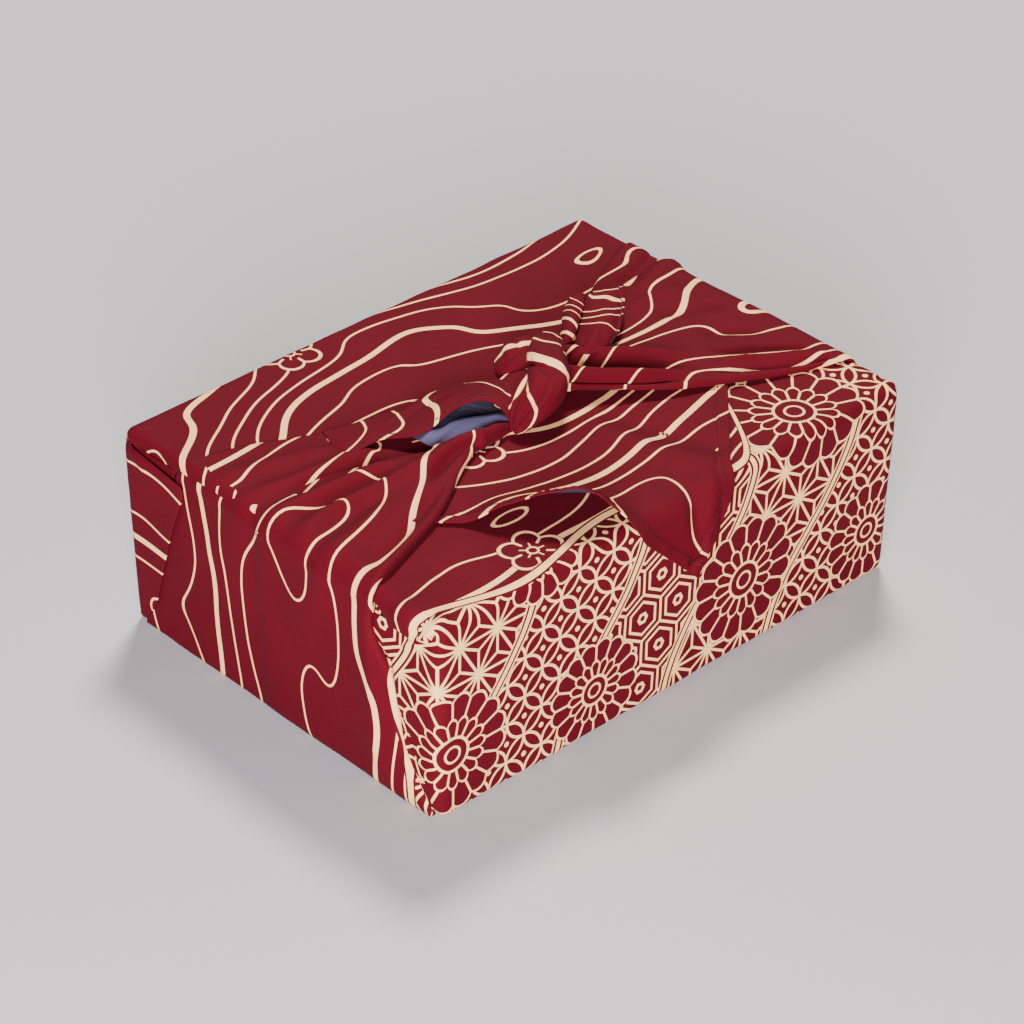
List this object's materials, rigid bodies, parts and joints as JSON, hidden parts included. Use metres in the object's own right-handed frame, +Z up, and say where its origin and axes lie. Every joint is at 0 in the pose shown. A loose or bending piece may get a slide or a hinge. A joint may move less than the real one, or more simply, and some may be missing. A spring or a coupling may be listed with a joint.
{
  "type": "furoshiki wrap with box",
  "caption": "Square wrapping cloth folded and knotted around a rectangular gift box, with a hanging front corner and a knot on top.",
  "frame": {"origin": "on the surface it rests on, under the middle of the wrapped box", "axes": "+X along the parcel's long side, from its left flap to its right flap; +Y from the side with the hanging corner to the back; +Z up"},
  "size_m": [0.2538, 0.1959, 0.1127],
  "materials": {
    "cloth": "matt printed cotton",
    "carton": "matt greyboard"
  },
  "bodies": {
    "root": {"wrap": "cloth", "box": "carton"}
  },
  "joints": []
}
